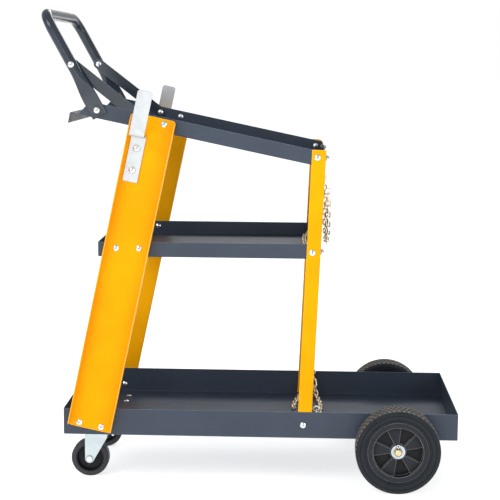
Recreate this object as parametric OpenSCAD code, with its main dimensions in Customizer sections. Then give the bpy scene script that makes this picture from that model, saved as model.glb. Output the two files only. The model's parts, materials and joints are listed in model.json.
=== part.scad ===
/* [Trays] */
// Length of the bottom tray
tray_len = 940; // [900:10:980]
// Width over the side walls of the bottom tray
tray_w = 425; // [400:5:450]
// Height of the bottom tray's walls
tray_h = 64; // [50:1:80]
// Height of the bottom tray's underside above the rear wheels' contact
tray_z = 113.4; // [113:0.1:116]
// Height of the middle shelf's underside
shelf_z = 544.6; // [540:0.1:550]
// Wall height of the middle shelf and the top tray
shelf_h = 35; // [30:1:45]
// Height of the top tray's underside at the handle end
top_z = 885.7; // [880:0.1:890]
// Downward slope of the top tray towards the bottle end, in degrees
top_slope = 11.67; // [11:0.01:12.5]
// Sheet thickness of the trays
sheet = 1.5; // [1:0.1:2]

/* [Legs] */
// Lean of the wide front legs, in degrees
front_lean = 11.96; // [11:0.01:13]
// Width of a front leg
front_w = 104.8; // [104:0.1:106]
// Depth of a front leg's outward flanges
front_flange = 18; // [12:1:22]
// Lean of the narrow rear legs, in degrees
rear_lean = 2.29; // [2:0.01:3]
// Width of a rear leg
rear_w = 33; // [30:1:36]
// Depth of a rear leg's inward flange
rear_flange = 30; // [26:1:34]
// Sheet thickness of the legs
leg_sheet = 2; // [1.5:0.1:2]

/* [Handle] */
// Outside diameter of the handle tube
tube_d = 25; // [24:0.5:26]
// Distance from the lower handle screw to the grip's centre line
handle_len = 249.9; // [240:0.1:260]
// Lean of the handle away from the cart, in degrees
handle_lean = 28.7; // [27:0.1:30]

/* [Wheels] */
// Diameter of the rear wheels
wheel_d = 200; // [196:1:204]
// Width of the rear tyres
wheel_w = 60; // [54:1:61]
// Diameter of the rear axle
axle_d = 16; // [14:1:18]
// Diameter of the caster wheels
caster_d = 92; // [90:1:94]
// Width of the caster wheels
caster_w = 30; // [26:1:32]
// Offset of a caster's axle behind its swivel axis
caster_trail = 21; // [20:1:22]
// Height from a caster's axle to the top of its plate
caster_rise = 80.5; // [79:0.5:82]

/* [Chains] */
// Wire diameter of the chain links
wire = 3.8; // [3.4:0.1:4]
// Inside length of a chain link
link_in = 18.8; // [18.5:0.1:19]
// Outside width of a chain link
link_w = 14.4; // [14.2:0.1:15]
// Number of links in the hanging chain
upper_links = 27; // [27:2:29]

/* [Hidden] */
$fn = 48;

half_w = tray_w / 2;
screw_r = 3;
hole_r = 3.5;
fold_r = 3;
fit = 0.05;
gap = 0.3;

// Wheels, with x measured from the handle end of the bottom tray
axle_x = 795.8;
axle_z = wheel_d / 2;
axle_r = axle_d / 2;
caster_x = 72;
caster_y = 125;
caster_dx = axle_x - caster_x + caster_trail;
caster_axle_z = tray_z - caster_rise;
caster_dz = axle_z - caster_axle_z;

// The casters hold the level frame up by this angle about the rear axle
tilt = atan(caster_dz / caster_dx) - asin((axle_z - caster_d / 2) / norm([caster_dx, caster_dz]));

// Legs: each has a frame whose first axis runs across it and whose third runs up it
front_x = 9.45;
front_z = 140.2;
front_u0 = 2.2;
front_h0 = -1.2;
front_len = 761.7;
front_depth = front_flange + leg_sheet;
flange_round = 15;
front_corner = 8;
rear_x = 557.8;
rear_z = 100;
rear_foot = 18;
rear_top = 701;
rear_face = rear_w - leg_sheet;

shelf_x0 = 86;
shelf_y = half_w - sheet - leg_sheet;
shelf_x1 = rear_x + rear_face / cos(rear_lean) + (shelf_z - rear_z) * tan(rear_lean);
top_u0 = 23.5;
top_wall_u = [44, 65.3];
top_lip = 26;
end_lean = top_slope - rear_lean;
top_u1 = (rear_face + rear_x * cos(rear_lean) + (top_z - rear_z) * sin(rear_lean)) / cos(end_lean);

// Handle, straps and cable hooks
handle_x = 87;
handle_z = 886.8;
handle_mid = 119.1;
handle_y = shelf_y + 2;
handle_bend = 45;
flat_w = 37;
flat_t = 4;
flat_low = 15.5;
flat_high = 24.5;
taper_top = 104;
strap_w = 26;
strap_t = 3;
hook_u = 11.9;
hook_w = 35;
hook_t = 3;
hook_h = [601, 714, 817.5];
hook_corner = 7;
hook_out = 59.5;
hook_fold = 6;
hook_screw_h = [629, 681];

// Chain anchors in the rear legs' flanges
eye_y = half_w - 19;
eye_r = 7;
eye_wire = 4;
eye_u = rear_w + 10;
eye_h = [604, 82];
bow_r = (link_w - wire) / 2;
bow_half = link_in / 2 + wire / 2 - bow_r;
lock_u = rear_w + 1;
lock_drop = eye_r - bow_r;
pitch = link_in - 0.4;
slack_pitch = link_in - 1;
start_gap = pitch / 2 - link_in / 2 + eye_wire / 2 + gap;

function front_at(u, h) = [front_x + u * cos(front_lean) + h * sin(front_lean),
    front_z - u * sin(front_lean) + h * cos(front_lean)];
function rear_at(u, h) = [rear_x + u * cos(rear_lean) + h * sin(rear_lean),
    rear_z - u * sin(rear_lean) + h * cos(rear_lean)];
function front_level(u, z) = front_at(u, (z - front_z + u * sin(front_lean)) / cos(front_lean));
function rear_level(u, z) = rear_at(u, (z - rear_z + u * sin(rear_lean)) / cos(rear_lean));
function turned(x, z) = [axle_x + (x - axle_x) * cos(tilt) + (z - axle_z) * sin(tilt),
    axle_z - (x - axle_x) * sin(tilt) + (z - axle_z) * cos(tilt)];

grip_x = handle_x - handle_len * sin(handle_lean);
grip_z = handle_z + handle_len * cos(handle_lean);
centre_x = (turned(grip_x, grip_z)[0] - tube_d / 2 + turned(tray_len, tray_z + tray_h)[0]) / 2;

// Screws that run across the cart, as [x, z], from the lowest up
front_spots = [front_at(27.3, 9.8), front_at(80.9, 9.8), front_level(28.7, 565.7),
    front_level(82.3, 565.7), front_at(26.9, 748.3), front_at(80.7, 748.3)];
rear_spots = [rear_level(13.4, 145.3), rear_level(13.4, 559.8), rear_level(13.4, 782.2)];
hook_spots = [for (h = hook_screw_h) front_at(hook_u + hook_w / 2, h)];
end_wall_h = [462.4, 682.6];

// Sheets that each screw clamps, as depths inwards from the bottom tray's outer wall face
front_stacks = [for (i = [0:5]) [-leg_sheet, i < 2 ? sheet : i == 4 ? 5 + strap_t : 5]];
rear_stacks = [[0, sheet + leg_sheet], [sheet, 5], [sheet, 5]];
handle_low_stack = [half_w - handle_y - flat_t / 2, 5];
strap_up = handle_y - tube_d / 2;
strap_low = shelf_y - sheet;
handle_mid_stack = [half_w - handle_y - tube_d / 2, half_w - strap_up + strap_t];
hook_stack = [-leg_sheet - hook_t, 0];

strap_a = [handle_x - handle_mid * sin(handle_lean), handle_z + handle_mid * cos(handle_lean)];
strap_b = front_spots[4];
strap_len = norm(strap_b - strap_a);
strap_angle = atan2(strap_a[1] - strap_b[1], strap_b[0] - strap_a[0]);

slate = [0.2, 0.24, 0.29];
amber = [0.98, 0.69, 0.0];
zinc = [0.8, 0.81, 0.82];
pale_gold = [0.86, 0.8, 0.62];
rubber = [0.13, 0.13, 0.14];
plastic = [0.1, 0.1, 0.11];

module cart() {
    translate([axle_x - centre_x, 0, axle_z]) rotate([0, tilt, 0])
        translate([-axle_x, 0, -axle_z]) children();
}
module on_front() { translate([front_x, 0, front_z]) rotate([0, front_lean, 0]) children(); }
module on_rear() { translate([rear_x, 0, rear_z]) rotate([0, rear_lean, 0]) children(); }
module on_top() { translate([0, 0, top_z]) rotate([0, top_slope, 0]) children(); }
module on_handle() { translate([handle_x, 0, handle_z]) rotate([0, -handle_lean, 0]) children(); }
module on_axle() { translate([axle_x, 0, axle_z]) children(); }

// side -1 is the right side and +1 the left side, for a person who pushes the cart
module to_side(side) { if (side < 0) children(); else mirror([0, 1, 0]) children(); }

module rod_y(r, y0, y1) { translate([0, y0, 0]) rotate([-90, 0, 0]) cylinder(r = r, h = y1 - y0); }
module rod_x(r, x0, x1) { translate([x0, 0, 0]) rotate([0, 90, 0]) cylinder(r = r, h = x1 - x0); }
module rod_z(r, z0, z1) { translate([0, 0, z0]) cylinder(r = r, h = z1 - z0); }

// Extrusions of an outline: across the cart from y0, or along it from x0
module across(y0, depth) {
    translate([0, y0 + depth, 0]) rotate([90, 0, 0]) linear_extrude(depth) children();
}
module along(x0, x1) {
    translate([x0, 0, 0]) rotate([90, 0, 90]) linear_extrude(x1 - x0) children();
}

module round_rect(w, h, r) {
    translate([r, 0]) square([w - 2 * r, h]);
    translate([0, r]) square([w, h - 2 * r]);
    for (x = [r, w - r], y = [r, h - r]) translate([x, y]) circle(r = r);
}

// Rectangle with its two lower corners rounded, as a folded sheet's outer face is
module fold_rect(w, h, r) {
    translate([r, 0]) square([w - 2 * r, h]);
    translate([0, r]) square([w, h - r]);
    for (x = [r, w - r]) translate([x, r]) circle(r = r);
}
module fold_section(w, h, t) {
    difference() {
        fold_rect(w, h, fold_r);
        translate([t, t]) fold_rect(w - 2 * t, h, fold_r - t);
    }
}

// Quarter ring of a bent sheet, in the quadrant reached by the given turn
module elbow(r, t, turn) {
    rotate(turn) intersection() {
        difference() {
            circle(r = r);
            circle(r = r - t);
        }
        square(r);
    }
}

// Pan-head screw with a cross recess: head at y = 0 facing -Y, shank along +Y
module screw(len) {
    head_r = 7;
    head_h = 4;
    dome_r = 10.15;
    difference() {
        union() {
            rotate([90, 0, 0]) rotate_extrude() intersection() {
                square([head_r, head_h]);
                translate([0, head_h - dome_r]) circle(r = dome_r, $fn = 96);
            }
            rod_y(screw_r, 0, len);
        }
        for (a = [0, 90]) rotate([0, a, 0]) translate([-3.2, -head_h - 1, -0.6]) cube([6.4, 2.8, 1.2]);
    }
}

// Flange nut: flange at y = 0, hexagon along +Y
module nut() {
    difference() {
        union() {
            rod_y(6.9, 0, 1.4);
            rotate([-90, 0, 0]) cylinder(r = 5.77, h = 6, $fn = 6);
        }
        rod_y(screw_r + fit, -1, 7);
    }
}

// All cross screws face -Y, so on the left side their heads are inside the cart
module fasten(spot, stack, side, as_nut) {
    depth = stack[1] - stack[0];
    start = side < 0 ? -half_w + stack[0] : half_w - stack[1];
    translate([spot[0], start, spot[1]])
        if (as_nut) translate([0, depth, 0]) nut(); else screw(depth + 8);
}
module cross_holes(spots) {
    for (p = spots, s = [-1, 1]) translate([p[0], s * half_w, p[1]]) rod_y(hole_r, -25, 25);
}
module end_wall_holes() {
    on_rear() for (h = end_wall_h, s = [-1, 1])
        translate([rear_face, s * eye_y, h]) rod_x(hole_r, -5, 5);
}

// Folded tray: the first child is its outline from the side, the second its hollow's
module tray_shell(outer_x, inner_x, w) {
    tall = 100;
    difference() {
        intersection() {
            across(-w / 2, w) children(0);
            along(outer_x[0], outer_x[1]) translate([-w / 2, 0]) fold_rect(w, tall, fold_r);
            translate([outer_x[0], -w / 2, 0]) linear_extrude(tall)
                round_rect(outer_x[1] - outer_x[0], w, fold_r);
        }
        intersection() {
            across(-w / 2, w) children(1);
            along(inner_x[0], inner_x[1]) translate([sheet - w / 2, sheet])
                fold_rect(w - 2 * sheet, tall, fold_r - sheet);
            translate([inner_x[0], sheet - w / 2, 0]) linear_extrude(tall)
                round_rect(inner_x[1] - inner_x[0], w - 2 * sheet, fold_r - sheet);
        }
    }
}

// Corners that are cut back to sit inside the rear legs' folds
module corner_relief() {
    on_rear() for (s = [-1, 1]) translate([rear_face, s * shelf_y, rear_top / 2])
        rotate(45) cube([3, 3, 1.2 * rear_top], center = true);
}

module bottom_tray() {
    color(slate) cart() difference() {
        translate([0, 0, tray_z]) tray_shell([0, tray_len], [sheet, tray_len - sheet], tray_w) {
            fold_rect(tray_len, tray_h, fold_r);
            translate([sheet, sheet]) fold_rect(tray_len - 2 * sheet, tray_h, fold_r - sheet);
        }
        cross_holes([front_spots[0], front_spots[1], rear_spots[0]]);
        for (s = [-1, 1]) at_caster(s) at_caster_bolts() rod_z(hole_r, tray_z - 1, tray_z + 4);
    }
}

module middle_shelf() {
    shift = shelf_h * tan(rear_lean);
    color(slate) cart() difference() {
        translate([0, 0, shelf_z]) tray_shell([shelf_x0, shelf_x1 + 20],
            [shelf_x0 + sheet, shelf_x1 + 20], 2 * shelf_y) {
            intersection() {
                translate([shelf_x0, 0]) fold_rect(shelf_x1 - shelf_x0 + 20, shelf_h, fold_r);
                polygon([[0, 0], [shelf_x1, 0], [shelf_x1 + shift, shelf_h], [0, shelf_h]]);
            }
            intersection() {
                translate([shelf_x0 + sheet, sheet]) fold_rect(shelf_x1 - shelf_x0 + 20, 2 * shelf_h,
                    fold_r - sheet);
                polygon([[0, 0], [shelf_x1 - sheet, 0], [shelf_x1 - sheet + 2 * shift, 2 * shelf_h],
                    [0, 2 * shelf_h]]);
            }
        }
        corner_relief();
        cross_holes([front_spots[2], front_spots[3], rear_spots[1]]);
        end_wall_holes();
    }
}

module top_tray() {
    slant = tan(end_lean);
    wall = sheet / cos(end_lean);
    color(slate) cart() difference() {
        on_top() {
            tray_shell([top_u0 + fold_r, top_u1 + 20], [0, top_u1 + 20], 2 * shelf_y) {
                polygon([[top_u0 + fold_r, 0], [top_u1, 0], [top_u1 - shelf_h * slant, shelf_h],
                    [top_wall_u[1], shelf_h], [top_wall_u[0], sheet], [top_u0 + fold_r, sheet]]);
                polygon([[0, sheet], [top_u1 - wall - sheet * slant, sheet],
                    [top_u1 - wall - 2 * shelf_h * slant, 2 * shelf_h], [0, 2 * shelf_h]]);
            }
            across(-shelf_y + fold_r, 2 * (shelf_y - fold_r)) {
                translate([top_u0 + fold_r, sheet - fold_r]) elbow(fold_r, sheet, 90);
                translate([top_u0, sheet - top_lip]) square([sheet, top_lip - fold_r]);
            }
        }
        corner_relief();
        cross_holes([front_spots[4], front_spots[5], rear_spots[2], [handle_x, handle_z]]);
        end_wall_holes();
    }
}

// Flange seen from the end of the cart: its free corners are rounded off
module flange_outline() {
    intersection() {
        square([front_depth, front_len]);
        union() {
            translate([0, flange_round]) square([front_depth, front_len - 2 * flange_round]);
            square([front_depth - flange_round, front_len]);
            for (h = [flange_round, front_len - flange_round])
                translate([front_depth - flange_round, h]) circle(r = flange_round);
        }
    }
}

module front_leg(side) {
    color(amber) cart() to_side(side) difference() {
        on_front() translate([front_u0, -half_w, front_h0]) intersection() {
            linear_extrude(front_len) mirror([0, 1]) fold_section(front_w, front_depth, leg_sheet);
            along(-1, front_w + 1) mirror([1, 0]) flange_outline();
            across(-front_depth - 1, front_depth + 2) round_rect(front_w, front_len, front_corner);
        }
        cross_holes(front_spots);
        cross_holes(hook_spots);
    }
}

// Slot that a chain link drops into, with a round top that lets the chain through
module keyhole() {
    slot = wire + 0.8;
    low = link_w / 2 + 0.2;
    translate([rear_w - 4, -slot / 2, -low]) cube([6, slot, low + 15]);
    translate([0, 0, 16]) rod_x(8.4, rear_w - 4, rear_w + 2);
}

// Rear leg seen from the side: square at the foot, rounded at the top over the fold
module rear_leg_outline(tall, r) {
    square([rear_w - r, tall]);
    square([rear_w, tall - r]);
    translate([rear_w - r, tall - r]) circle(r = r);
}
module rear_leg(side) {
    flange_corner = 6;
    tall = rear_top - rear_foot;
    color(amber) cart() difference() {
        to_side(side) on_rear() translate([0, -half_w + sheet, rear_foot]) intersection() {
            linear_extrude(tall) intersection() {
                square([rear_w, rear_flange]);
                translate([-rear_w, 0]) fold_section(2 * rear_w, 2 * rear_w, leg_sheet);
            }
            across(-1, rear_w) rear_leg_outline(tall, side < 0 ? 2 : 13);
            along(-1, rear_w + 1) translate([-rear_w, tall]) mirror([0, 1])
                fold_rect(rear_w + rear_flange, tall, flange_corner);
        }
        cross_holes(rear_spots);
        end_wall_holes();
        on_rear() for (h = eye_h) {
            if (side < 0) translate([0, -eye_y, h]) rod_x(screw_r + 0.2, rear_w - 4, rear_w + 2);
            else translate([0, eye_y, h - lock_drop]) keyhole();
        }
    }
}

// Bent tube at the given radius, from s0 up both arms and across the grip
module handle_core(r, s0) {
    for (s = [-1, 1]) {
        translate([0, s * handle_y, 0]) rod_z(r, s0, handle_len - handle_bend);
        translate([0, s * (handle_y - handle_bend), handle_len - handle_bend]) rotate([90, 0, 90 * s])
            rotate_extrude(angle = 90) translate([handle_bend, 0]) circle(r = r);
    }
    translate([0, 0, handle_len]) rod_y(r, handle_bend - handle_y, handle_y - handle_bend);
}

module handle_tube() {
    color(slate) cart() on_handle() difference() {
        union() {
            handle_core(tube_d / 2, taper_top);
            for (s = [-1, 1]) translate([0, s * handle_y, 0]) {
                hull() {
                    translate([0, 0, taper_top - 1]) cylinder(r = tube_d / 2, h = 1, $fn = 32);
                    translate([-flat_w / 2, -flat_t / 2, flat_high - 1]) cube([flat_w, flat_t, 1]);
                }
                translate([-flat_w / 2, -flat_t / 2, -flat_low])
                    cube([flat_w, flat_t, flat_low + flat_high]);
            }
        }
        handle_core(tube_d / 2 - sheet, taper_top + 1);
        for (s = [-1, 1], h = [0, handle_mid]) translate([0, s * handle_y, h]) rod_y(hole_r, -15, 15);
    }
}

// Flat brace, joggled to meet both the handle's inner side and the tray wall
module handle_strap(side) {
    near = 30;
    far = strap_len - 50;
    color(slate) cart() to_side(side) translate([strap_a[0], 0, strap_a[1]])
        rotate([0, strap_angle, 0]) difference() {
            intersection() {
                translate([0, 0, -strap_w]) linear_extrude(2 * strap_w) polygon([[-strap_w, -strap_up],
                    [near, -strap_up], [far, -strap_low], [strap_len + strap_w, -strap_low],
                    [strap_len + strap_w, strap_t - strap_low], [far, strap_t - strap_low],
                    [near, strap_t - strap_up], [-strap_w, strap_t - strap_up]]);
                across(-half_w, 40) {
                    translate([0, -strap_w / 2]) square([strap_len, strap_w]);
                    for (x = [0, strap_len]) translate([x, 0]) circle(r = strap_w / 2);
                }
            }
            for (x = [0, strap_len]) translate([x, 0, 0]) rod_y(hole_r, -half_w, -half_w + 40);
        }
}

// Z-bent strip for coiled cable, seen from the end of the cart: leaf, ledge and upright
module hook_profile() {
    ledge = hook_h[1] - hook_t;
    translate([0, hook_h[0]]) square([hook_t, hook_h[1] - hook_fold - hook_h[0]]);
    translate([hook_fold, hook_h[1] - hook_fold]) elbow(hook_fold, hook_t, 90);
    translate([hook_fold, ledge]) square([hook_out - 2 * hook_fold, hook_t]);
    translate([hook_out - hook_fold, ledge + hook_fold]) elbow(hook_fold, hook_t, -90);
    translate([hook_out - hook_t, ledge + hook_fold]) square([hook_t, hook_h[2] - ledge - hook_fold]);
}
module cable_hook(side) {
    color(zinc) cart() to_side(side) difference() {
        on_front() translate([hook_u, 0, 0]) intersection() {
            translate([0, -half_w - leg_sheet, 0]) along(0, hook_w) mirror([1, 0]) hook_profile();
            across(-2 * half_w, 2 * half_w) translate([0, hook_h[2]]) mirror([0, 1])
                fold_rect(hook_w, hook_h[2] - hook_h[0], hook_corner);
        }
        cross_holes(hook_spots);
    }
}

// Rings that fill the gap between a front leg and the narrower upper trays
module front_leg_spacers() {
    color(zinc) cart() for (s = [-1, 1]) to_side(s) for (i = [2:5])
        translate([front_spots[i][0], -half_w, front_spots[i][1]]) difference() {
            rod_y(8, 0, half_w - shelf_y);
            rod_y(hole_r, -1, 5);
        }
}

module front_leg_fasteners(as_nut) {
    color(zinc) cart() for (s = [-1, 1], i = [0:5]) fasten(front_spots[i], front_stacks[i], s, as_nut);
}
module rear_leg_fasteners(as_nut) {
    color(zinc) cart() for (s = [-1, 1], i = [0:2]) fasten(rear_spots[i], rear_stacks[i], s, as_nut);
}
module hook_fasteners(as_nut) {
    color(zinc) cart() for (s = [-1, 1], p = hook_spots) fasten(p, hook_stack, s, as_nut);
}
module handle_fasteners(as_nut) {
    color(zinc) cart() for (s = [-1, 1]) {
        fasten([handle_x, handle_z], handle_low_stack, s, as_nut);
        fasten(strap_a, handle_mid_stack, s, as_nut);
    }
}

// Screws through the upper trays' end walls, with their heads inside the trays
module end_wall_fasteners(as_nut) {
    depth = sheet + leg_sheet;
    color(zinc) cart() on_rear() for (h = end_wall_h, s = [-1, 1])
        translate([rear_face - sheet, s * eye_y, h]) rotate([0, 0, -90])
            if (as_nut) translate([0, depth, 0]) nut(); else screw(depth + 8);
}

// Axle bracket, welded under the tray: a flange on the floor sheet and an ear
module axle_bracket(side) {
    flange_t = 3;
    ear_y = 8;
    half = 26;
    drop = tray_z - axle_z;
    color(slate) cart() to_side(side) translate([axle_x, ear_y - half_w, axle_z]) difference() {
        union() {
            translate([-half, 0, drop - flange_t]) cube([2 * half, 30, flange_t]);
            across(0, 4) {
                circle(r = 13);
                polygon([[-half, drop], [-half, drop - flange_t], [-12, -5], [12, -5],
                    [half, drop - flange_t], [half, drop]]);
            }
        }
        rod_y(axle_r + fit, -1, 35);
    }
}

// Rear wheel: depths are measured outwards from the bottom tray's wall
tyre_out = 65;
hub_out = 51;
hub_in = 10;
washer_t = 3;
pin_out = hub_out + gap + washer_t + 2;
axle_end = half_w + 64;
bush_r = 11;
rim_r = 72;
recess_r = 59;

module rear_axle() {
    chamfer = 1.5;
    color([0.8, 0.66, 0.38]) cart() on_axle() difference() {
        union() {
            rod_y(axle_r, chamfer - axle_end, axle_end - chamfer);
            for (s = [-1, 1]) rotate([90 * s, 0, 0]) rotate_extrude()
                polygon([[0, axle_end - chamfer], [axle_r, axle_end - chamfer],
                    [axle_r - chamfer, axle_end], [0, axle_end]]);
        }
        for (s = [-1, 1]) translate([0, s * (half_w + pin_out), 0]) rod_z(1.7, -10, 10);
    }
}
module axle_ring(side, y0, y1, r) {
    to_side(side) translate([0, -half_w, 0]) difference() {
        rod_y(r, y0, y1);
        rod_y(axle_r, y0 - 1, y1 + 1);
    }
}
module axle_spacers() {
    color(zinc) cart() on_axle() for (s = [-1, 1]) axle_ring(s, gap - hub_in, 8, 10.5);
}
module wheel_washers() {
    color(zinc) cart() on_axle() for (s = [-1, 1])
        axle_ring(s, -hub_out - gap - washer_t, -hub_out - gap, 16.5);
}
module wheel_split_pins() {
    color(zinc) cart() on_axle() for (s = [-1, 1]) translate([0, s * (half_w + pin_out), 0]) {
        rod_z(1.6, -13, 12);
        translate([0, 0, 14]) rotate([90, 0, 0]) rotate_extrude() translate([3, 0])
            circle(r = 1.2, $fn = 16);
    }
}

module on_rear_wheel(side) {
    on_axle() to_side(side) translate([0, -half_w - tyre_out, 0]) rotate([-90, 0, 0]) children();
}
module rear_tyre(side) {
    shoulder = 8;
    outer = wheel_d / 2;
    color(rubber) cart() on_rear_wheel(side) rotate_extrude($fn = 96) {
        translate([rim_r, shoulder]) square([outer - rim_r, wheel_w - 2 * shoulder]);
        translate([rim_r, 0]) square([outer - rim_r - shoulder, wheel_w]);
        for (y = [shoulder, wheel_w - shoulder]) translate([outer - shoulder, y]) circle(r = shoulder);
    }
}
module sector(r0, r1, half) {
    intersection() {
        difference() {
            circle(r = r1, $fn = 96);
            circle(r = r0);
        }
        polygon([[0, 0], 2 * r1 * [cos(half), sin(half)], 2 * r1 * [cos(half), -sin(half)]]);
    }
}

// Plastic rim: bead ring, closed web with five raised sector spokes on each face, and a hub
module rear_rim(side) {
    web = [20, 26];
    spoke_front = 11;
    spoke_back = 48;
    color(plastic) cart() on_rear_wheel(side) difference() {
        union() {
            rotate_extrude($fn = 96) {
                translate([recess_r, 3]) square([rim_r - recess_r, wheel_w - 6]);
                translate([bush_r, web[0]]) square([recess_r - bush_r + 1, web[1] - web[0]]);
                translate([bush_r, tyre_out - hub_out]) square([8, hub_out - hub_in]);
            }
            for (i = [0:4]) rotate(259 + 72 * i) translate([0, 0, spoke_front])
                linear_extrude(spoke_back - spoke_front) sector(18.5, recess_r + 0.5, 17);
        }
        rod_z(bush_r, -10, 80);
    }
}
module rear_bush(side) {
    color([0.75, 0.75, 0.7]) cart() on_axle() to_side(side) translate([0, -half_w, 0]) difference() {
        rod_y(bush_r, -hub_out, -hub_in);
        rod_y(axle_r + fit, -hub_out - 1, 0);
    }
}

// Caster: plate with a ball cup, kingpin, fork, wheel
plate_t = 2.5;
plate_size = [95, 80];
plate_bolts = [38, 28];
plate_low = tray_z - plate_t;
crown_z = 98;
cup_r = 27;
cup_in = 24.5;
race_t = 3;
kingpin_r = 6;
ball_r = 4.75;
fork_in = 18;
fork_t = 2.5;
fork_x = [-11 - caster_trail, 43 - caster_trail];
fork_eye = 11;
caster_axle_r = 4;
caster_core_r = 34;

module at_caster(side) { translate([caster_x, side * caster_y, 0]) children(); }
module at_caster_bolts() {
    for (x = [-1, 1], y = [-1, 1]) translate([x * plate_bolts[0], y * plate_bolts[1], 0]) children();
}
module at_caster_axle(side) { at_caster(side) translate([-caster_trail, 0, caster_axle_z]) children(); }

module caster_plate(side) {
    color(zinc) cart() at_caster(side) difference() {
        union() {
            translate([-plate_size[0] / 2, -plate_size[1] / 2, plate_low]) linear_extrude(plate_t)
                round_rect(plate_size[0], plate_size[1], 7);
            rod_z(cup_r, crown_z + 3, plate_low + 0.1);
        }
        rod_z(cup_in, crown_z + 2, plate_low - race_t);
        rod_z(kingpin_r, crown_z, tray_z + 1);
        at_caster_bolts() rod_z(hole_r, plate_low - 1, tray_z + 1);
    }
}
module caster_fasteners(as_nut) {
    under = sheet + plate_t;
    color(zinc) cart() for (s = [-1, 1]) at_caster(s) at_caster_bolts()
        translate([0, 0, tray_z + sheet]) rotate([-90, 0, 0])
            if (as_nut) translate([0, under, 0]) nut(); else screw(under + 16);
}
module kingpin(side) {
    color(zinc) cart() at_caster(side) {
        rod_z(kingpin_r, crown_z - 7, tray_z);
        rod_z(10, crown_z - 7, crown_z - fork_t - gap);
    }
}
module caster_balls(side) {
    color(zinc) cart() at_caster(side) for (i = [0:9])
        rotate(36 * i) translate([18, 0, crown_z + gap + ball_r]) sphere(r = ball_r);
}

// Fork pressed from one sheet: a crown and two legs that narrow to the wheel's axle
module fork_outline() {
    slope = [fork_x[1] + caster_trail, 53];
    turn = atan2(slope[1], slope[0]) - acos(fork_eye / norm(slope));
    translate([-caster_trail, caster_axle_z]) circle(r = fork_eye);
    polygon([[fork_x[0], crown_z], [fork_x[1], crown_z], [fork_x[1], caster_axle_z + slope[1]],
        [fork_eye * cos(turn) - caster_trail, caster_axle_z + fork_eye * sin(turn)],
        [fork_x[0], caster_axle_z]]);
}
module caster_fork(side) {
    outer = fork_in + fork_t;
    color(zinc) cart() at_caster(side) difference() {
        intersection() {
            across(-outer, 2 * outer) fork_outline();
            along(fork_x[0] - 1, fork_x[1] + 1) translate([-outer, crown_z]) mirror([0, 1])
                fold_section(2 * outer, crown_z, fork_t);
        }
        rod_z(kingpin_r + fit, crown_z - 9, crown_z + 1);
        translate([-caster_trail, 0, caster_axle_z]) rod_y(caster_axle_r, -40, 40);
    }
}
module caster_tyre(side) {
    shoulder = 5;
    outer = caster_d / 2;
    color(rubber) cart() at_caster_axle(side) rotate([-90, 0, 0]) rotate_extrude($fn = 96) {
        translate([caster_core_r, -caster_w / 2]) square([outer - caster_core_r - shoulder, caster_w]);
        translate([caster_core_r, shoulder - caster_w / 2])
            square([outer - caster_core_r, caster_w - 2 * shoulder]);
        for (y = [-1, 1]) translate([outer - shoulder, y * (caster_w / 2 - shoulder)]) circle(r = shoulder);
    }
}
module caster_hub(side) {
    color(plastic) cart() at_caster_axle(side) rotate([-90, 0, 0]) rotate_extrude($fn = 96) {
        translate([31.5, -13]) square([caster_core_r - 31.5, 26]);
        translate([10, -5]) square([22, 10]);
        translate([caster_axle_r + fit, gap - fork_in]) square([7, 2 * (fork_in - gap)]);
    }
}
module caster_axle(side) {
    outer = fork_in + fork_t;
    color(zinc) cart() at_caster_axle(side) {
        rod_y(caster_axle_r, -outer - 1, outer + 9);
        rod_y(6.5, -outer - 4, -outer);
    }
}
module caster_axle_nut(side) {
    color(zinc) cart() at_caster_axle(side) difference() {
        translate([0, fork_in + fork_t, 0]) rotate([-90, 0, 0]) cylinder(r = 7.5, h = 6.5, $fn = 6);
        rod_y(caster_axle_r, 0, 50);
    }
}

// One chain link, its length along X and its ring lying in the XY plane
module link() {
    for (s = [-1, 1]) {
        translate([-bow_half, s * bow_r, 0]) rotate([0, 90, 0])
            cylinder(r = wire / 2, h = 2 * bow_half, $fn = 16);
        translate([s * bow_half, 0, 0]) rotate(-90 * s) rotate_extrude(angle = 180)
            translate([bow_r, 0]) circle(r = wire / 2, $fn = 16);
    }
}

// Link at p along d; with no roll its ring stands in the plane across the cart
module link_at(p, d, roll) {
    x = d / norm(d);
    side = cross(x, [1, 0, 0]);
    y = side / norm(side);
    z = cross(x, y);
    multmatrix([[x[0], y[0], z[0], p[0]], [x[1], y[1], z[1], p[1]], [x[2], y[2], z[2], p[2]],
        [0, 0, 0, 1]]) rotate([roll, 0, 0]) link();
}

// The upper chain's two anchors, as [x, z] where its end links hang on the ring and the bow
near_hang = turned(rear_at(eye_u, eye_h[0])[0], rear_at(eye_u, eye_h[0])[1]) - [0, eye_r];
far_hang = turned(rear_at(lock_u + bow_half, eye_h[0] - lock_drop)[0],
    rear_at(lock_u + bow_half, eye_h[0] - lock_drop)[1]) - [0, bow_r];

// Catenary y = a asinh(s / a): its constant a is found by halving an interval
half_arc = (upper_links * pitch - 2 * start_gap) / 2;
function asinh(v) = ln(v + sqrt(v * v + 1));
function solve(lo, hi, n) = n == 0 ? (lo + hi) / 2
    : (lo + hi) / 2 * asinh(2 * half_arc / (lo + hi)) > eye_y ? solve(lo, (lo + hi) / 2, n - 1)
    : solve((lo + hi) / 2, hi, n - 1);
cat = solve(20, 2000, 40);
sag = sqrt(cat * cat + half_arc * half_arc) - cat;

// It hangs plumb, so it is placed outside the tipped frame
module upper_chain() {
    mid = (near_hang + far_hang) / 2;
    lean = (far_hang - near_hang) / (2 * eye_y);
    color(pale_gold) translate([-centre_x, 0, 0]) for (i = [0:upper_links - 1]) {
        s = (i + 0.5) * pitch - start_gap - half_arc;
        y = cat * asinh(s / cat);
        z = sqrt(cat * cat + s * s) - cat - sag;
        link_at([mid[0] + lean[0] * y, y, mid[1] + lean[1] * y + z], [lean[0] * cat, cat, s],
            i % 2 * 90);
    }
}

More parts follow.
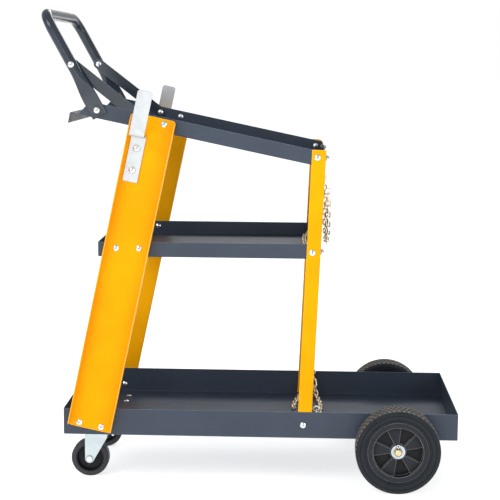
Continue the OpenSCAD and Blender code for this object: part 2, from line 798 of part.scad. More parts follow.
// Smooth path through a list of corner points, and the place at a length s along it
function curve(p, q, r, n) = [for (k = [0:n]) let (t = k / n)
    (1 - t) * (1 - t) * p + 2 * t * (1 - t) * q + t * t * r];
function smooth(pts, n) = [for (i = [1:len(pts) - 2]) each curve(
    i == 1 ? pts[0] : (pts[i - 1] + pts[i]) / 2, pts[i],
    i == len(pts) - 2 ? pts[i + 1] : (pts[i] + pts[i + 1]) / 2, n)];
function run_len(pts, i) = i == 0 ? 0 : run_len(pts, i - 1) + norm(pts[i] - pts[i - 1]);
function seg_of(pts, s, i) = i >= len(pts) - 2 || run_len(pts, i + 1) >= s ? i : seg_of(pts, s, i + 1);
function place(pts, s) = let (i = seg_of(pts, s, 0), d = norm(pts[i + 1] - pts[i]))
    pts[i] + (s - run_len(pts, i)) / max(d, 0.001) * (pts[i + 1] - pts[i]);

// Links lie rolled by 45 degrees, and twist to that from upright over the first few
function twist(i, last) = i < 3 ? 15 * i : last - i < 3 ? 90 - 15 * (last - i) : 45;
module chain_run(pts, n, step, last) {
    for (i = [0:n - 1]) {
        a = place(pts, i * step);
        b = place(pts, (i + 1) * step);
        link_at((a + b) / 2, b - a, twist(i, last) + i % 2 * 90);
    }
}

lie = bow_r * sin(45) + wire / 2 + 0.2;
bottom_floor = tray_z + sheet + lie;
shelf_floor = shelf_z + sheet + lie;

// Point p = [x, y, z] where a link hangs: on a ring's or bow's wire, with its end clear of it
function hang(u, h, y, r) = [rear_at(u, h)[0], y, rear_at(u, h)[1] - r + start_gap];
near_low = hang(eye_u, eye_h[1], -eye_y, eye_r);
far_low = hang(lock_u + bow_half, eye_h[1] - lock_drop, eye_y, bow_r);

// The slack lower chain drops from its anchors and lies across the bottom tray
module lower_chain() {
    f = bottom_floor;
    pts = smooth([near_low, [near_low[0] + 4, -190, f], [617, -90, f], [613, -20, f], [621, 60, f],
        [far_low[0] + 4, 190, f], far_low], 12);
    total = run_len(pts, len(pts) - 1);
    n = 2 * ceil(total / slack_pitch / 2);
    color(pale_gold) cart() chain_run(pts, n, total / n, n - 1);
}

// Free chain ends: a link locked in the keyhole, then links down to a sheet and along it
module chain_tail(h, links, corners) {
    centre = rear_at(lock_u, h);
    start = hang(lock_u - bow_half, h, eye_y, bow_r);
    pts = smooth(concat([start], corners), 12);
    color(pale_gold) cart() {
        link_at([centre[0], eye_y, centre[1]], [1, 0.0001, 0], 0);
        chain_run(pts, links, slack_pitch, 1000);
    }
}
module upper_chain_tail() {
    f = shelf_floor;
    chain_tail(eye_h[0] - lock_drop, 20, [[596, eye_y, 668], [592, 192, 610], [588, 186, f],
        [574, 160, f], [570, 80, f], [572, -30, f]]);
}
module lower_chain_tail() {
    f = bottom_floor;
    chain_tail(eye_h[1] - lock_drop, 11, [[574, 192, 150], [570, 178, f], [560, 140, f],
        [548, 60, f], [546, -40, f]]);
}

// Eye bolts of the right leg: ring across the flange, shank through it
module at_eyes() { on_rear() for (h = eye_h) translate([0, -eye_y, h]) children(); }
module chain_eye_bolts() {
    color(zinc) cart() at_eyes() {
        translate([eye_u, 0, 0]) rotate([90, 0, 0]) rotate_extrude() translate([eye_r, 0])
            circle(r = eye_wire / 2, $fn = 24);
        rod_x(screw_r, rear_face - 8, eye_u - eye_r);
        rod_x(5.5, rear_w, rear_w + 1);
    }
}
module chain_eye_nuts() {
    color(zinc) cart() at_eyes() difference() {
        translate([rear_face - 5, 0, 0]) rotate([0, 90, 0]) cylinder(r = 5.77, h = 5, $fn = 6);
        rod_x(screw_r, rear_face - 9, rear_face + 1);
    }
}

bottom_tray();
middle_shelf();
top_tray();
front_leg(1);  // front_leg_left
front_leg(-1);  // front_leg_right
rear_leg(1);  // rear_leg_left
rear_leg(-1);  // rear_leg_right
handle_tube();
handle_strap(1);  // handle_strap_left
handle_strap(-1);  // handle_strap_right
cable_hook(1);  // cable_hook_left
cable_hook(-1);  // cable_hook_right
front_leg_spacers();
front_leg_fasteners(false);  // front_leg_screws
front_leg_fasteners(true);  // front_leg_nuts
rear_leg_fasteners(false);  // rear_leg_screws
rear_leg_fasteners(true);  // rear_leg_nuts
end_wall_fasteners(false);  // end_wall_screws
end_wall_fasteners(true);  // end_wall_nuts
handle_fasteners(false);  // handle_screws
handle_fasteners(true);  // handle_nuts
hook_fasteners(false);  // hook_screws
hook_fasteners(true);  // hook_nuts
axle_bracket(1);  // axle_bracket_left
axle_bracket(-1);  // axle_bracket_right
rear_axle();
axle_spacers();
wheel_washers();
wheel_split_pins();
rear_tyre(1);  // rear_tyre_left
rear_tyre(-1);  // rear_tyre_right
rear_rim(1);  // rear_rim_left
rear_rim(-1);  // rear_rim_right
rear_bush(1);  // rear_bush_left
rear_bush(-1);  // rear_bush_right
caster_plate(1);  // caster_plate_left
caster_plate(-1);  // caster_plate_right
caster_fasteners(false);  // caster_bolts
caster_fasteners(true);  // caster_nuts
kingpin(1);  // kingpin_left
kingpin(-1);  // kingpin_right
caster_balls(1);  // caster_balls_left
caster_balls(-1);  // caster_balls_right
caster_fork(1);  // caster_fork_left
caster_fork(-1);  // caster_fork_right
caster_tyre(1);  // caster_tyre_left
caster_tyre(-1);  // caster_tyre_right
caster_hub(1);  // caster_hub_left
caster_hub(-1);  // caster_hub_right
caster_axle(1);  // caster_axle_left
caster_axle(-1);  // caster_axle_right
caster_axle_nut(1);  // caster_axle_nut_left
caster_axle_nut(-1);  // caster_axle_nut_right
upper_chain();
lower_chain();
upper_chain_tail();
lower_chain_tail();
chain_eye_bolts();
chain_eye_nuts();
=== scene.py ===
"""Looks of the three-tier workshop cart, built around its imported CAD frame. Metres; Z is up."""
import json
import math

import bmesh
import bpy
from mathutils import Matrix, Vector


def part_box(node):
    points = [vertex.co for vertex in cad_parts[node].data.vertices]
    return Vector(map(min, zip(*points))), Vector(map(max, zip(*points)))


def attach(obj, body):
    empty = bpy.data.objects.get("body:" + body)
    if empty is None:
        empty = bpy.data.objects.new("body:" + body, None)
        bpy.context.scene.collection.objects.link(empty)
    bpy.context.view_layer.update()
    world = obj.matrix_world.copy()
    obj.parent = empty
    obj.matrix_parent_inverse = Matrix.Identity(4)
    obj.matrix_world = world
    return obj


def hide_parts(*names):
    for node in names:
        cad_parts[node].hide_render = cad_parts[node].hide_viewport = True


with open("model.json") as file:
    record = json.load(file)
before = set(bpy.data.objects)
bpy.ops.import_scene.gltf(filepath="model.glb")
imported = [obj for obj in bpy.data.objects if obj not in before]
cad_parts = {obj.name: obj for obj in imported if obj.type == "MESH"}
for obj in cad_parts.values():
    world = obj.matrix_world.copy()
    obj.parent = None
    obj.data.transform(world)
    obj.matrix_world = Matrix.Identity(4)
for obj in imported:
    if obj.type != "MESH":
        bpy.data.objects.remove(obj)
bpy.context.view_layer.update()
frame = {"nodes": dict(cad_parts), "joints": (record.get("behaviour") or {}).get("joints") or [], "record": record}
NODES = frame["nodes"]
MM = 0.001

# ---------------------------------------------------------------- the cart's own axes

JOINTS = {j["name"]: j for j in frame["joints"]}
REAR_AXLE = Vector(JOINTS["rear_wheel_left_spin"]["pos_m"])
REAR_AXLE.y = 0
# The cart leans a little away from its handle, so its casters' swivel axes aren't upright
LEAN = math.asin(abs(JOINTS["caster_left_swivel"]["axis"][0]))
CART = Matrix.Translation(REAR_AXLE) @ Matrix.Rotation(LEAN, 4, "Y")


# ---------------------------------------------------------------- camera, floor and lights

# The camera, in the cart's axes: place from the rear axle, turns in radians, lens in millimetres
CAMERA_PLACE = Vector((-0.23653, -3.26519, 0.90597))
CAMERA_YAW = -0.0378
CAMERA_PITCH = 0.1434
CAMERA_ROLL = -0.0073
CAMERA_LENS = 95.12

# The studio: its floor glows a little, as a lit sweep with no far edge does
FLOOR_PALE = 0.88
FLOOR_GLOW = 0.66
FLOOR_REACH = 60.0
ROOM_TINT = (0.96, 0.98, 1.0)
ROOM_LIGHT = 0.50

# Soft boxes, all turned to the middle of the cart: name, place, size and power in watts
LIT_PLACE = Vector((0, 0, 0.5))
SOFT_BOXES = (
    ("key_over_left", (-2.4, -2.6, 3.0), (2.2, 1.8), 62),
    ("fill_right", (3.4, -2.6, 1.6), (1.8, 2.2), 34),
    ("fill_front", (-0.5, -3.8, 0.9), (2.4, 1.6), 16),
    ("back_rim", (0.6, 3.2, 2.8), (2.6, 1.4), 40),
)


def make_camera():
    """A camera that looks along yaw and pitch, and is rolled about that line."""
    ahead = Vector((math.sin(CAMERA_YAW) * math.cos(CAMERA_PITCH),
                    math.cos(CAMERA_YAW) * math.cos(CAMERA_PITCH),
                    -math.sin(CAMERA_PITCH)))
    level = Vector((math.cos(CAMERA_YAW), -math.sin(CAMERA_YAW), 0))
    down = ahead.cross(level)
    across = math.cos(CAMERA_ROLL) * level + math.sin(CAMERA_ROLL) * down
    down = -math.sin(CAMERA_ROLL) * level + math.cos(CAMERA_ROLL) * down
    turn = Matrix((across, -down, -ahead)).transposed().to_4x4()
    data = bpy.data.cameras.new("camera")
    data.lens = CAMERA_LENS
    camera = bpy.data.objects.new("camera", data)
    bpy.context.scene.collection.objects.link(camera)
    camera.matrix_world = CART @ Matrix.Translation(CAMERA_PLACE) @ turn
    bpy.context.scene.camera = camera


def make_soft_box(name, place, size, power):
    data = bpy.data.lights.new(name, "AREA")
    data.shape = "RECTANGLE"
    data.size, data.size_y = size
    data.energy = power
    light = bpy.data.objects.new(name, data)
    bpy.context.scene.collection.objects.link(light)
    light.location = place
    light.rotation_euler = (LIT_PLACE - Vector(place)).to_track_quat("-Z", "Y").to_euler()


def make_light():
    """A white studio: pale to look at, dimmer as a lamp, so that soft boxes shape the object."""
    world = bpy.data.worlds.new("studio")
    bpy.context.scene.world = world
    world.use_nodes = True
    nodes, links = world.node_tree.nodes, world.node_tree.links
    seen = nodes["Background"]
    seen.inputs["Color"].default_value = (1, 1, 1, 1)
    cast = nodes.new("ShaderNodeBackground")
    cast.inputs["Color"].default_value = (*ROOM_TINT, 1)
    cast.inputs["Strength"].default_value = ROOM_LIGHT
    either = nodes.new("ShaderNodeMixShader")
    links.new(nodes.new("ShaderNodeLightPath").outputs["Is Camera Ray"], either.inputs["Fac"])
    links.new(cast.outputs["Background"], either.inputs[1])
    links.new(seen.outputs["Background"], either.inputs[2])
    links.new(either.outputs["Shader"], nodes["World Output"].inputs["Surface"])
    bpy.context.scene.view_settings.view_transform = "Standard"
    for box in SOFT_BOXES:
        make_soft_box(*box)


def make_stage():
    """A pale floor that reaches past the camera's view on all sides."""
    far = FLOOR_REACH
    mesh = bpy.data.meshes.new("floor")
    mesh.from_pydata([(-far, -far, 0), (far, -far, 0), (far, far, 0), (-far, far, 0)], [], [(0, 1, 2, 3)])
    floor = bpy.data.objects.new("floor", mesh)
    bpy.context.scene.collection.objects.link(floor)
    paint, _, _, shader = new_material("studio_floor")
    shader.inputs["Base Color"].default_value = (FLOOR_PALE, FLOOR_PALE, FLOOR_PALE, 1)
    shader.inputs["Roughness"].default_value = 0.9
    shader.inputs["Specular IOR Level"].default_value = 0.0
    shader.inputs["Emission Color"].default_value = (1, 1, 1, 1)
    shader.inputs["Emission Strength"].default_value = FLOOR_GLOW
    floor.data.materials.append(paint)


# ---------------------------------------------------------------- materials

# Every finish by name. One that ends in _edge is for the rounded edges of the finish before it, and is painted
# paler than it as a highlight
MATERIALS = {}
CAVITY_SAMPLES = 8
# Height of a surface's normal where dust starts to stay on it, and where it stays in full
UPWARD_FROM = 0.55
UPWARD_TO = 0.95


def new_material(name):
    material = bpy.data.materials.new(name)
    material.use_nodes = True
    nodes, links = material.node_tree.nodes, material.node_tree.links
    return material, nodes, links, nodes["Principled BSDF"]


class Paint:
    """A material's node tree, with short ways to add noise, ramps, mixes and bumps."""

    def __init__(self, name, colour, roughness, metallic=0.0, specular=0.5):
        material, self.nodes, self.links, self.shader = new_material(name)
        MATERIALS[name] = material
        self.place = self.nodes.new("ShaderNodeTexCoord").outputs["Object"]
        self.shader.inputs["Base Color"].default_value = (*colour, 1)
        self.shader.inputs["Roughness"].default_value = roughness
        self.shader.inputs["Metallic"].default_value = metallic
        self.shader.inputs["Specular IOR Level"].default_value = specular

    def noise(self, scale, detail, rough=0.55):
        """Noise with features about 1 / scale metres across, from 0 to 1."""
        node = self.nodes.new("ShaderNodeTexNoise")
        node.inputs["Scale"].default_value = scale
        node.inputs["Detail"].default_value = detail
        node.inputs["Roughness"].default_value = rough
        self.links.new(self.place, node.inputs["Vector"])
        return node.outputs["Fac"]

    def cavity_shade(self, reach, low=0.45, high=0.95):
        """0 in corners and gaps narrower than the reach and 1 on open surfaces: a mask for painted shade in
        hollows.
        """
        node = self.nodes.new("ShaderNodeAmbientOcclusion")
        node.samples = CAVITY_SAMPLES
        node.inputs["Distance"].default_value = reach
        return self.ramp(node.outputs["AO"], low, high)

    def ramp(self, value, low, high, to_low=0.0, to_high=1.0):
        """value between low and high becomes to_low to to_high, and stays there outside."""
        node = self.nodes.new("ShaderNodeMapRange")
        node.clamp = True
        node.inputs["From Min"].default_value = low
        node.inputs["From Max"].default_value = high
        node.inputs["To Min"].default_value = to_low
        node.inputs["To Max"].default_value = to_high
        self.links.new(value, node.inputs["Value"])
        return node.outputs["Result"]

    def times(self, value, by):
        """value times a number or times another value."""
        node = self.nodes.new("ShaderNodeMath")
        node.operation = "MULTIPLY"
        self.links.new(value, node.inputs[0])
        if isinstance(by, float):
            node.inputs[1].default_value = by
        else:
            self.links.new(by, node.inputs[1])
        return node.outputs["Value"]

    def mix(self, share, a, b):
        """Colour a where share is 0 and colour b where it is 1."""
        node = self.nodes.new("ShaderNodeMix")
        node.data_type = "RGBA"
        self.links.new(share, node.inputs[0])
        for socket, value in ((node.inputs[6], a), (node.inputs[7], b)):
            if isinstance(value, tuple):
                socket.default_value = (*value, 1)
            else:
                self.links.new(value, socket)
        return node.outputs[2]

    def upward(self):
        """1 on surfaces that face up, 0 on upright ones and on those that face down."""
        node = self.nodes.new("ShaderNodeSeparateXYZ")
        self.links.new(self.nodes.new("ShaderNodeNewGeometry").outputs["Normal"], node.inputs["Vector"])
        return self.ramp(node.outputs["Z"], UPWARD_FROM, UPWARD_TO)

    def set_colour(self, value):
        self.links.new(value, self.shader.inputs["Base Color"])

    def set_roughness(self, value):
        self.links.new(value, self.shader.inputs["Roughness"])

    def bump(self, *layers):
        """Each layer is (height, depth in metres)."""
        normal = None
        for height, depth in layers:
            node = self.nodes.new("ShaderNodeBump")
            node.inputs["Distance"].default_value = depth
            self.links.new(height, node.inputs["Height"])
            if normal:
                self.links.new(normal, node.inputs["Normal"])
            normal = node.outputs["Normal"]
        self.links.new(normal, self.shader.inputs["Normal"])


def lighter(colour, by):
    return tuple(min(1.0, c * by) for c in colour)


DUST = (0.30, 0.30, 0.29)
BARE_STEEL = (0.42, 0.43, 0.44)
RUBBED_SHARE = 0.4


def powder_coat(name, colour, roughness, edge=False, specular=0.45, dust_share=0.0, peel=0.03 * MM):
    """Baked powder paint: orange peel of depth peel, and dust on flat tops or bare spots on edges."""
    paint = Paint(name, colour, roughness, specular=specular)
    if edge:
        # The edge colour comes in already paler, a painted highlight; here it is rubbed to bare steel in spots,
        # which is real wear
        rubbed = paint.ramp(paint.noise(55.0, 5.0, 0.7), 0.52, 0.66)
        base = paint.mix(paint.times(rubbed, RUBBED_SHARE), colour, BARE_STEEL)
    else:
        cloud = paint.ramp(paint.noise(7.0, 2.0), 0.35, 0.65)
        cloudy = paint.mix(cloud, lighter(colour, 0.93), lighter(colour, 1.07))
        grains = paint.ramp(paint.noise(60.0, 6.0, 0.75), 0.50, 0.75)
        settled = paint.times(paint.times(grains, paint.upward()), dust_share)
        base = paint.mix(settled, cloudy, DUST)
    paint.set_colour(base)
    paint.set_roughness(paint.ramp(paint.noise(24.0, 4.0), 0.3, 0.7, roughness - 0.05, roughness + 0.08))
    paint.bump((paint.noise(620.0, 2.0), peel), (paint.noise(2600.0, 1.0), peel / 5))


def plated(name, colour, tint, roughness, patch=90.0, metallic=1.0, reach=6 * MM):
    """Zinc plate: patches about 1 / patch metres across differ in tint, and narrow gaps are darkened as painted
    shade.
    """
    paint = Paint(name, colour, roughness, metallic=metallic)
    patches = paint.mix(paint.ramp(paint.noise(patch, 4.0, 0.6), 0.38, 0.66), colour, tint)
    # Painted shade: gaps and corners narrower than reach are darkened to 0.18 of the plate's colour
    paint.set_colour(paint.mix(paint.cavity_shade(reach), lighter(colour, 0.18), patches))
    polish = paint.noise(patch * 2.0, 3.0, 0.6)
    paint.set_roughness(paint.ramp(polish, 0.3, 0.7, roughness - 0.03, roughness + 0.04))
    paint.bump((paint.noise(500.0, 2.0, 0.5), 0.002 * MM))


def rubber(name, colour, dirt, dirt_share, roughness):
    """Rubber: cloudy, with patches of dirt that dull it, painted shade in its grooves and a fine grain."""
    paint = Paint(name, colour, roughness, specular=0.24)
    grime = paint.ramp(paint.noise(34.0, 6.0, 0.72), 0.42, 0.70)
    cloud = paint.ramp(paint.noise(9.0, 3.0), 0.35, 0.65)
    cloudy = paint.mix(cloud, lighter(colour, 0.85), lighter(colour, 1.18))
    worn = paint.mix(paint.times(grime, dirt_share), cloudy, dirt)
    # Painted shade: grooves and gaps narrower than 4 mm are darkened to a quarter of the rubber's colour
    paint.set_colour(paint.mix(paint.cavity_shade(4 * MM), lighter(colour, 0.25), worn))
    paint.set_roughness(paint.ramp(grime, 0.0, 1.0, roughness - 0.08, roughness + 0.12))
    paint.bump((paint.noise(480.0, 3.0), 0.09 * MM), (paint.noise(1900.0, 2.0), 0.03 * MM))


def plastic(name, colour, roughness, reach=30 * MM):
    """Moulded plastic: cloudy, finely grained, and darkened in recesses within reach as painted shade."""
    paint = Paint(name, colour, roughness, specular=0.22)
    cloud = paint.ramp(paint.noise(16.0, 4.0), 0.35, 0.7)
    cloudy = paint.mix(cloud, lighter(colour, 0.9), lighter(colour, 1.25))
    # Painted shade: recesses narrower than reach are darkened towards 0.08 of the colour
    paint.set_colour(paint.mix(paint.cavity_shade(reach, 0.6, 1.0), lighter(colour, 0.08), cloudy))
    paint.set_roughness(paint.ramp(paint.noise(45.0, 4.0), 0.3, 0.7, roughness - 0.06, roughness + 0.1))
    paint.bump((paint.noise(900.0, 2.0), 0.05 * MM))


SLATE = (0.033, 0.047, 0.074)
GLOSS = (0.026, 0.035, 0.050)
AMBER = (0.97, 0.41, 0.0)
EDGE_HIGHLIGHT_GAIN = 3.2  # how much paler than its faces a dark finish is painted where it wraps an edge, as a painted highlight

# Each _edge finish below is a painted highlight, paler than the finish of the faces it rounds; powder coat edges
# are also rubbed to bare steel in spots
powder_coat("slate_powder", SLATE, 0.42, dust_share=0.02)
powder_coat("slate_powder_edge", lighter(SLATE, EDGE_HIGHLIGHT_GAIN), 0.36, edge=True)
powder_coat("amber_powder", AMBER, 0.42, specular=0.06, dust_share=0.03)
powder_coat("amber_powder_edge", (1.0, 0.62, 0.10), 0.34, specular=0.16, edge=True)
powder_coat("slate_gloss", GLOSS, 0.18, peel=0.003 * MM)
powder_coat("slate_gloss_edge", lighter(GLOSS, EDGE_HIGHLIGHT_GAIN), 0.26, edge=True, peel=0.008 * MM)
rubber("tyre_rubber", (0.010, 0.014, 0.019), (0.08, 0.085, 0.09), 0.10, 0.52)
rubber("tyre_tread", (0.115, 0.118, 0.118), (0.34, 0.27, 0.21), 0.5, 0.7)
rubber("caster_rubber", (0.030, 0.033, 0.038), (0.12, 0.12, 0.11), 0.14, 0.5)
plastic("black_plastic", (0.017, 0.019, 0.025), 0.40)
# Painted highlight for the rims' rounded edges: ten times paler than black_plastic
plastic("black_plastic_edge", (0.17, 0.175, 0.19), 0.3, reach=1 * MM)
plastic("bush_nylon", (0.62, 0.60, 0.54), 0.5)
plated("chain_zinc", (0.94, 0.87, 0.73), (0.92, 0.78, 0.54), 0.28, patch=160.0, reach=1.5 * MM)
plated("axle_yellow_zinc", (0.86, 0.58, 0.28), (0.80, 0.66, 0.42), 0.3)
plated("bright_zinc", (0.90, 0.925, 0.94), (0.86, 0.895, 0.92), 0.30, patch=30.0)
plated("satin_zinc", (0.55, 0.57, 0.58), (0.50, 0.52, 0.53), 0.34, patch=30.0, metallic=0.7)
plated("dull_zinc", (0.60, 0.67, 0.70), (0.53, 0.60, 0.63), 0.36, patch=30.0)

# Zinc-plated nodes whose polish differs from the rest
POLISH = {
    "cable_hook_left": "satin_zinc",
    "cable_hook_right": "satin_zinc",
    "caster_fork_left": "dull_zinc",
    "caster_fork_right": "dull_zinc",
    "wheel_washers": "dull_zinc",
}


# ---------------------------------------------------------------- CAD nodes that stay

SLOT_OF = {subpart["node"]: subpart["material_slot"] for subpart in frame["record"]["subparts"]}

TRAYS = ("bottom_tray", "middle_shelf", "top_tray")
SIDED_SHEETS = ("front_leg_", "rear_leg_", "handle_strap_", "cable_hook_")
SHEET_EDGE = 0.6 * MM
RIM_EDGE = 0.9 * MM

# Edge rounding: faces that turn less than FLAT_TURN are joined, edges past SHARP_TURN are rounded
WELD_GAP = 0.01 * MM
FLAT_TURN = math.radians(0.5)
SHARP_TURN = math.radians(30)
ROUNDING_STEPS = 2
FLAT_FACE_WEIGHT = 80


def finish_of(name):
    return POLISH.get(name) or SLOT_OF[name]


def repaint_nodes():
    for name, node in NODES.items():
        node.data.materials.clear()
        node.data.materials.append(MATERIALS[finish_of(name)])


def soften_edges(name, width):
    """Rounds a CAD node's sharp edges for the light to catch: with modifiers, so its mesh is kept. The rounds take
    the paler _edge finish, a painted highlight, where there is one.
    """
    node = NODES[name]
    highlight_finish = finish_of(name) + "_edge"
    weld = node.modifiers.new("weld", "WELD")
    weld.merge_threshold = WELD_GAP
    flat = node.modifiers.new("flat", "DECIMATE")
    flat.decimate_type = "DISSOLVE"
    flat.angle_limit = FLAT_TURN
    bevel = node.modifiers.new("bevel", "BEVEL")
    bevel.width = width
    bevel.segments = ROUNDING_STEPS
    bevel.limit_method = "ANGLE"
    bevel.angle_limit = SHARP_TURN
    bevel.use_clamp_overlap = False
    bevel.miter_outer = "MITER_ARC"
    # Painted highlight: the rounds take the paler _edge finish where the node's finish has one
    if highlight_finish in MATERIALS:
        node.data.materials.append(MATERIALS[highlight_finish])
        bevel.material = 1
    normals = node.modifiers.new("normals", "WEIGHTED_NORMAL")
    normals.keep_sharp = False
    normals.weight = FLAT_FACE_WEIGHT


def soften_sheets_and_rims():
    for tray in TRAYS:
        soften_edges(tray, SHEET_EDGE)
    for side in ("left", "right"):
        for sheet_part in SIDED_SHEETS:
            soften_edges(sheet_part + side, SHEET_EDGE)
        soften_edges("rear_rim_" + side, RIM_EDGE)


# ---------------------------------------------------------------- pieces made here

def add_piece(name, mesh, body, slot, *replaced):
    piece = bpy.data.objects.new(name, mesh)
    bpy.context.scene.collection.objects.link(piece)
    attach(piece, body)
    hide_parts(*replaced)


# Least turn, in degrees, of the edges that stay sharp
TYRE_SHARP = 28
TUBE_SHARP = 50


def skin(name, rings, closed, sharp, matrix=None):
    """A mesh through rings of equally many points; closed joins the last ring to the first.

    Edges that turn more than sharp degrees stay sharp, and matrix, if any, places the mesh.
    """
    count = len(rings[0])
    points = [p for ring in rings for p in ring]
    faces = []
    for i in range(len(rings) if closed else len(rings) - 1):
        here, there = i * count, (i + 1) % len(rings) * count
        for k in range(count):
            after = (k + 1) % count
            faces.append((here + k, here + after, there + after, there + k))
    if not closed:
        faces.append(tuple(range(count))[::-1])
        faces.append(tuple(range((len(rings) - 1) * count, len(rings) * count)))
    mesh = bpy.data.meshes.new(name)
    mesh.from_pydata(points, [], faces)
    if matrix:
        mesh.transform(matrix)
    outward = bmesh.new()
    outward.from_mesh(mesh)
    bmesh.ops.recalc_face_normals(outward, faces=outward.faces)
    outward.to_mesh(mesh)
    outward.free()
    mesh.polygons.foreach_set("use_smooth", [True] * len(mesh.polygons))
    mesh.set_sharp_from_angle(angle=math.radians(sharp))
    return mesh


# Rows of tread blocks: shares of the tyre's width where a row starts and ends, then its shift and
# its slant, both in pitches
TREAD_ROWS = (
    (0.07, 0.26, 0.0, 0.22),
    (0.30, 0.48, 0.5, -0.22),
    (0.52, 0.70, 0.0, 0.22),
    (0.74, 0.93, 0.5, -0.22),
)
TREAD_PITCHES = 54
TREAD_DEPTH = 2.2 * MM
TREAD_CROWN = 1.0 * MM
BLOCK_WALL = 0.4 * MM
# Rings of points along one pitch: share of the pitch, and whether the ring is on top of a block
BLOCK_RINGS = ((0.0, False), (0.06, True), (0.70, True), (0.76, False))
# The shoulder, a smooth ring outside the blocks: its depth in from the tyre's face, and its drop
SHOULDER_IN = 2.2 * MM
SHOULDER_DROP = 1.1 * MM
# Sidewall from the shoulder to the bead: share of the radius, millimetres in from the tyre's face
SIDEWALL = (
    (0.962, 1.6), (0.945, 0.5), (0.925, 0.0), (0.902, 0.0), (0.898, 0.9),
    (0.886, 0.9), (0.882, 0.1), (0.835, 0.0), (0.800, 0.7), (0.785, 1.4),
    (0.778, 0.5), (0.762, 0.5), (0.755, 1.8), (0.735, 2.6), (0.721, 4.0),
)


def crown(depth, radius, width):
    """Radius of the blocks' tops: nearly flat in the middle of the tyre, lower at its shoulders."""
    return radius - TREAD_CROWN * (2 * depth / width - 1) ** 4


def tyre_lines(radius, width):
    """Lines around the tyre: depth in from its face, radius on blocks and in gaps, shift in pitches."""
    lines = [(d * MM, share * radius, share * radius, 0.0) for share, d in reversed(SIDEWALL)]
    low = radius - TREAD_DEPTH
    shoulder = radius - SHOULDER_DROP
    for i, (start, end, shift, slant) in enumerate(TREAD_ROWS):
        near, far = start * width, end * width
        before, after = shift - slant / 2, shift + slant / 2
        if i == 0:
            lines.append((SHOULDER_IN, shoulder, shoulder, before))
        else:
            lines.append((near - BLOCK_WALL, low, low, before))
        lines.append((near, crown(near, radius, width), low, before))
        lines.append((far, crown(far, radius, width), low, after))
        if i == len(TREAD_ROWS) - 1:
            lines.append((width - SHOULDER_IN, shoulder, shoulder, after))
        else:
            lines.append((far + BLOCK_WALL, low, low, after))
    lines += [(width - d * MM, share * radius, share * radius, 0.0) for share, d in SIDEWALL]
    return lines


def make_tyre(side):
    """A rear tyre with tread blocks, in the place of its plain CAD node."""
    node = "rear_tyre_" + side
    lo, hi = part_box(node)
    centre = (lo + hi) / 2
    radius, width = (hi.z - lo.z) / 2, hi.y - lo.y
    out = 1 if side == "left" else -1
    lines = tyre_lines(radius, width)
    rings = []
    for pitch in range(TREAD_PITCHES):
        for share, on_block in BLOCK_RINGS:
            ring = []
            for depth, block_r, gap_r, shift in lines:
                angle = 2 * math.pi * (pitch + share + shift) / TREAD_PITCHES
                r = block_r if on_block else gap_r
                ring.append((centre.x + r * math.cos(angle), centre.y + out * (width / 2 - depth),
                             centre.z + r * math.sin(angle)))
            rings.append(ring)
    mesh = skin(node, rings, closed=True, sharp=TYRE_SHARP)
    mesh.materials.append(MATERIALS["tyre_rubber"])
    mesh.materials.append(MATERIALS["tyre_tread"])
    # Only the strips of faces between two lines of the tread take its finish
    tread_from = len(SIDEWALL)
    tread_to = len(lines) - len(SIDEWALL) - 1
    for i, face in enumerate(mesh.polygons):
        face.material_index = 1 if tread_from <= i % len(lines) < tread_to else 0
    add_piece("tread_tyre_" + side, mesh, "rear_wheel_" + side, "tyre_rubber", node)


# Handle, in the cart's axes: lower screw from the rear axle, and lengths along an arm from that screw
HANDLE_SCREW = Vector((-0.7088, 0, 0.7868))
HANDLE_LEAN = math.radians(28.7)
HANDLE_LENGTH = 249.9 * MM
HANDLE_HALF_SPAN = 211 * MM
HANDLE_BEND = 45 * MM
TUBE_R = 12.5 * MM
FLAT_HALF_WIDTH = 18.5 * MM
FLAT_HALF_THICKNESS = 2.0 * MM
FLAT_FROM = -15.5 * MM
FLAT_TO = 24.5 * MM
ROUND_FROM = 104 * MM
# Worn-off edge of a flat end: along the tube, and in from its surface
END_LENGTH = 0.4 * MM
END_INSET = 0.5 * MM
# Exponents of the section's superellipse, which is an ellipse at 2 and nearly a rectangle at 9
ROUND_POWER = 2
FLAT_POWER = 9
TUBE_POINTS = 40
FLARE_STEPS = 14
BEND_STEPS = 14


def eased(t):
    """From 0 to 1 as t is, but slow at both ends."""
    return t * t * (3 - 2 * t)


def squared(value, power):
    """A cosine or sine as it is at power 2, and nearer to 1 or -1 above that."""
    return math.copysign(abs(value) ** (2 / power), value)


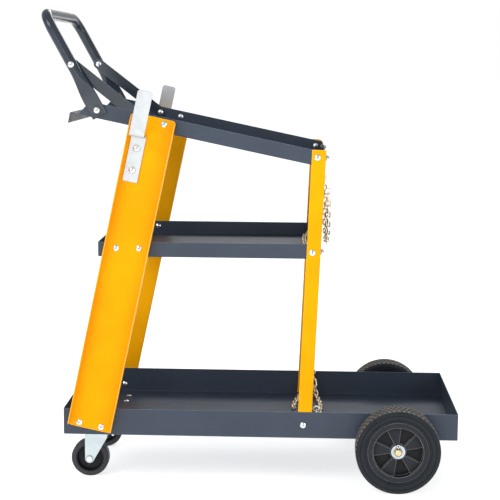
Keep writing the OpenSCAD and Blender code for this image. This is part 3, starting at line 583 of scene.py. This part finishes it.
def tube_section(roundness):
    """Cross-section from a pressed-flat tube, at 0, to a round one, at 1."""
    half_width = FLAT_HALF_WIDTH + (TUBE_R - FLAT_HALF_WIDTH) * roundness
    half_thickness = FLAT_HALF_THICKNESS + (TUBE_R - FLAT_HALF_THICKNESS) * roundness
    power = ROUND_POWER + (FLAT_POWER - ROUND_POWER) * (1 - roundness) ** 2
    section = []
    for k in range(TUBE_POINTS):
        turn = 2 * math.pi * k / TUBE_POINTS
        wide = squared(math.cos(turn), power) * half_width
        thick = squared(math.sin(turn), power) * half_thickness
        section.append((wide, thick))
    return section


def handle_stations():
    """Stations along one half of the handle: roundness, place, and direction out of its loop."""
    arm_top = HANDLE_LENGTH - HANDLE_BEND
    arm = [(0.0, FLAT_FROM), (0.0, FLAT_FROM + END_LENGTH), (0.0, FLAT_TO)]
    for i in range(1, FLARE_STEPS + 1):
        t = i / FLARE_STEPS
        arm.append((eased(t), FLAT_TO + (ROUND_FROM - FLAT_TO) * t))
    arm.append((1.0, arm_top))
    stations = [(roundness, Vector((0, HANDLE_HALF_SPAN, along)), Vector((0, 1, 0)))
                for roundness, along in arm]
    corner = Vector((0, HANDLE_HALF_SPAN - HANDLE_BEND, arm_top))
    for i in range(1, BEND_STEPS + 1):
        turn = math.pi / 2 * i / BEND_STEPS
        away = Vector((0, math.cos(turn), math.sin(turn)))
        stations.append((1.0, corner + HANDLE_BEND * away, away))
    return stations


def make_handle():
    """One bent tube, pressed flat at its two lower ends, along its whole centre line."""
    half = handle_stations()
    mirrored = [(roundness, Vector((0, -place.y, place.z)), Vector((0, -away.y, away.z)))
                for roundness, place, away in reversed(half)]
    rings = [[place + Vector((wide, 0, 0)) + thick * away for wide, thick in tube_section(roundness)]
             for roundness, place, away in half + mirrored]
    for end in (0, -1):
        middle = sum((Vector(point) for point in rings[end]), Vector()) / len(rings[end])
        rings[end] = [point + (middle - point).normalized() * END_INSET for point in rings[end]]
    matrix = CART @ Matrix.Translation(HANDLE_SCREW) @ Matrix.Rotation(-HANDLE_LEAN, 4, "Y")
    mesh = skin("push_handle", rings, closed=False, sharp=TUBE_SHARP, matrix=matrix)
    mesh.materials.append(MATERIALS["slate_gloss"])
    add_piece("push_handle", mesh, "root", "slate_gloss", "handle_tube")


# ---------------------------------------------------------------- the whole scene

make_camera()
make_light()
make_stage()
repaint_nodes()
soften_sheets_and_rims()
for wheel_side in ("left", "right"):
    make_tyre(wheel_side)
make_handle()
